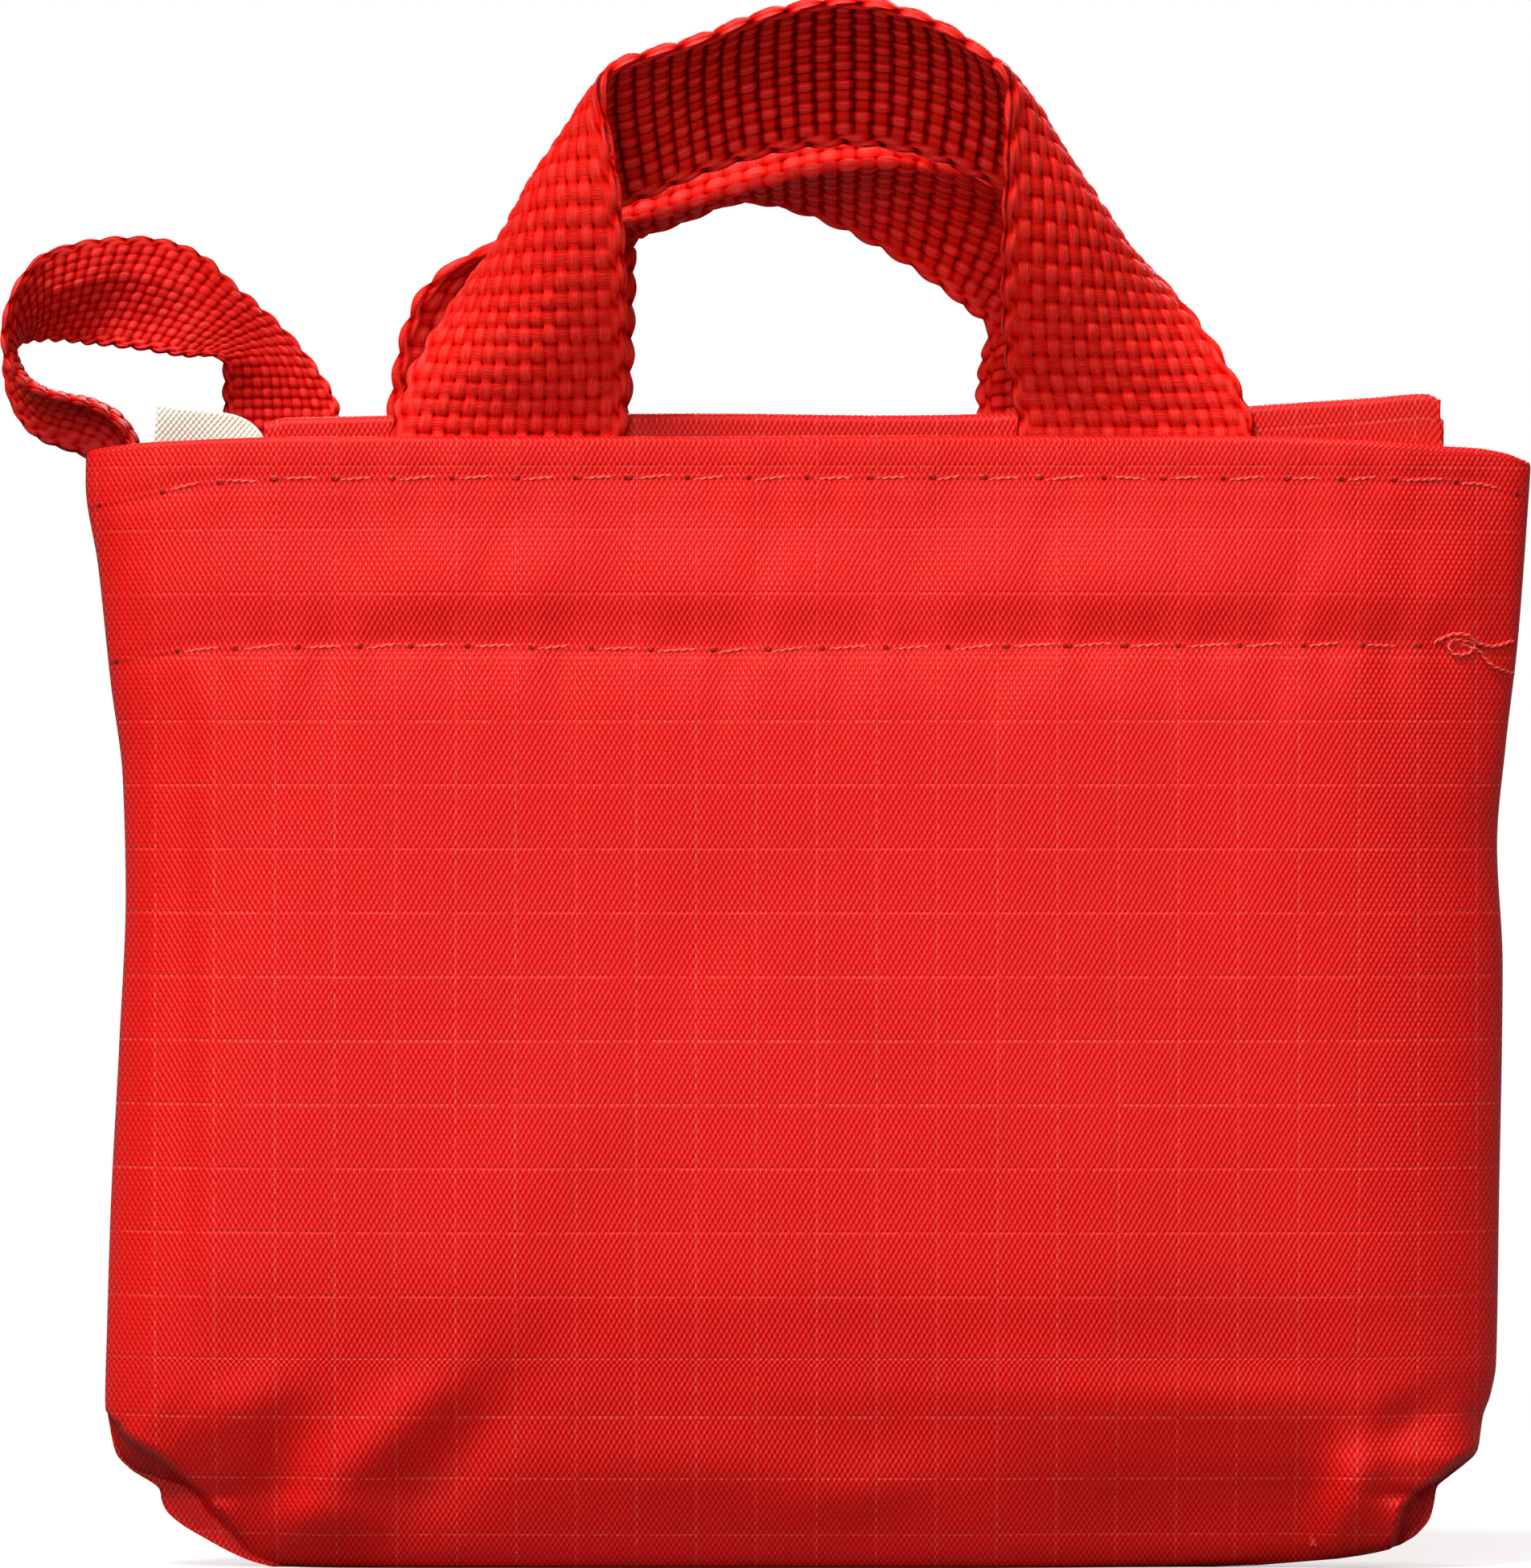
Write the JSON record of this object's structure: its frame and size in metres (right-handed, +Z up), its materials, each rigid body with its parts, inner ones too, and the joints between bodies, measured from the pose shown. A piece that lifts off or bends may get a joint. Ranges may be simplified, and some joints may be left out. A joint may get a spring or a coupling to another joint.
{
  "type": "foldable tote bag",
  "caption": "Foldable shopping tote packed into its own zipless pouch, with two webbing carry handles standing out of the mouth and a small hanging loop at one corner.",
  "frame": {"origin": "on the bottom seam under the pouch, midway across it", "axes": "+Z up through the mouth and handles, +X to the right when facing the front, front face towards -Y"},
  "size_m": [0.1635, 0.0463, 0.1683],
  "materials": {
    "pouch_cloth": "matte",
    "tote_cloth": "matte",
    "handle_webbing": "satin",
    "loop_webbing": "satin",
    "binding_tape": "matte",
    "thread": "satin",
    "label_cloth": "matte"
  },
  "bodies": {
    "pouch": {"pouch_front_panel": "pouch_cloth", "pouch_back_panel": "pouch_cloth", "front_hem_facing": "pouch_cloth", "back_hem_facing": "pouch_cloth", "side_binding_left": "binding_tape", "side_binding_right": "binding_tape", "bottom_binding": "binding_tape", "corner_bindings": "binding_tape", "front_hem_upper_stitches": "thread", "front_hem_lower_stitches": "thread", "back_hem_upper_stitches": "thread", "back_hem_lower_stitches": "thread", "side_seam_stitches": "thread", "corner_stitches": "thread", "loose_thread_tail": "thread", "loop_sewn_ends": "loop_webbing", "loop_bartacks": "thread", "label_sewn_end": "label_cloth", "label_stitches": "thread"},
    "tote": {"tote_front_panel": "tote_cloth", "tote_back_panel": "tote_cloth", "tote_base_panel": "tote_cloth", "tote_front_hem": "tote_cloth", "tote_back_hem": "tote_cloth", "tote_hem_stitches": "thread", "front_handle_sewn_ends": "handle_webbing", "back_handle_sewn_ends": "handle_webbing", "front_handle_box_stitches": "thread", "back_handle_box_stitches": "thread"},
    "front_handle": {"front_handle": "handle_webbing"},
    "back_handle": {"back_handle": "handle_webbing"},
    "hanging_loop": {"hanging_loop": "loop_webbing"},
    "care_label": {"care_label": "label_cloth"}
  },
  "joints": [
    {"name": "tote_pull_out", "type": "slide", "parent": "pouch", "child": "tote", "axis": [0, 0, 1], "range_m": [0, 0.11]},
    {"name": "front_handle_fold", "type": "hinge", "parent": "tote", "child": "front_handle", "pos_m": [0, -0.0088, 0.1207], "axis": [1, 0, 0], "range_deg": [0, 130]},
    {"name": "back_handle_fold", "type": "hinge", "parent": "tote", "child": "back_handle", "pos_m": [0, 0.0088, 0.1207], "axis": [1, 0, 0], "range_deg": [-130, 0]},
    {"name": "loop_swing", "type": "hinge", "parent": "pouch", "child": "hanging_loop", "pos_m": [-0.0565, 0.0056, 0.1217], "axis": [0.9618, 0.2693, 0.0495], "range_deg": [-30, 3]},
    {"name": "label_flop", "type": "hinge", "parent": "pouch", "child": "care_label", "pos_m": [-0.064, -0.0034, 0.12125], "axis": [1, 0, 0], "range_deg": [-60, 60]}
  ]
}
